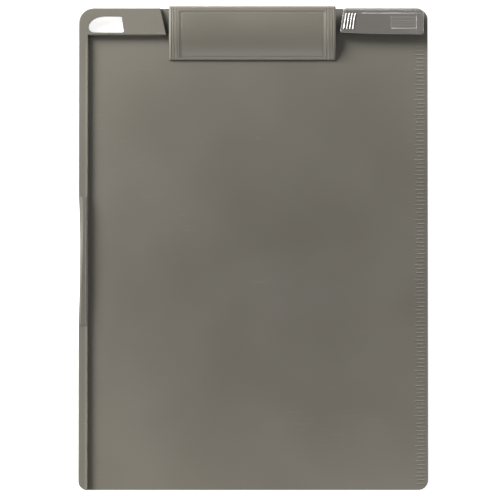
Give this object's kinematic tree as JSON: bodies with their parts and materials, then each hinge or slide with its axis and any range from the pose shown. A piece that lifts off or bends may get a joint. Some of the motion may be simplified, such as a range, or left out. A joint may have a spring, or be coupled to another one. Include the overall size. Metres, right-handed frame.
{
  "type": "clipboard",
  "caption": "A4 clipboard: plate with a raised rim and header, hanging hole, wide sprung paper clip, sprung pen arm, soft rim grip and edge rule.",
  "frame": {"origin": "under the middle of the clipboard's outline, on the plane of its flat back", "axes": "+Z out of the writing face, +Y towards the header and clip, +X towards the ruled edge; the long side runs along Y"},
  "size_m": [0.232, 0.321, 0.012],
  "materials": {
    "board_plastic": "warm grey moulded plastic with a fine matt grain",
    "clip_plastic": "warm grey moulded plastic, satin on the raised flanks",
    "arm_plastic": "polished smoke-grey plastic",
    "grip_rubber": "soft satin elastomer in the board's colour",
    "jaw_rubber": "matt dark rubber",
    "bracket_steel": "zinc-plated stamped steel",
    "rivet_steel": "nickel-plated, dull",
    "pin_steel": "ground bright steel",
    "spring_steel": "drawn spring wire"
  },
  "bodies": {
    "board_body": {"board": "board_plastic", "clip_bracket": "bracket_steel", "bracket_rivets": "rivet_steel", "clip_axle": "pin_steel", "axle_ring_left": "spring_steel", "axle_ring_right": "spring_steel", "clip_spring_left": "spring_steel", "clip_spring_right": "spring_steel", "pen_arm_pin": "pin_steel", "pen_arm_spring": "spring_steel", "grip_strip": "grip_rubber"},
    "clip": {"clip_cover": "clip_plastic", "clip_jaw_pad": "jaw_rubber"},
    "pen_holder": {"pen_arm": "arm_plastic"}
  },
  "joints": [
    {"name": "clip_hinge", "type": "hinge", "parent": "board_body", "child": "clip", "pos_m": [-0.00065, 0.1485, 0.0064], "axis": [-1, 0, 0], "range_deg": [0, 20], "stiffness_Nm_per_rad": 0.23, "springref_deg": -29.79, "deforming": ["clip_spring_left", "clip_spring_right"]},
    {"name": "pen_arm_hinge", "type": "hinge", "parent": "board_body", "child": "pen_holder", "pos_m": [0.0715, 0.1505, 0.0058], "axis": [0, -1, 0], "range_deg": [0, 14], "stiffness_Nm_per_rad": 0.08, "springref_deg": -22.92, "deforming": ["pen_arm_spring"]}
  ]
}
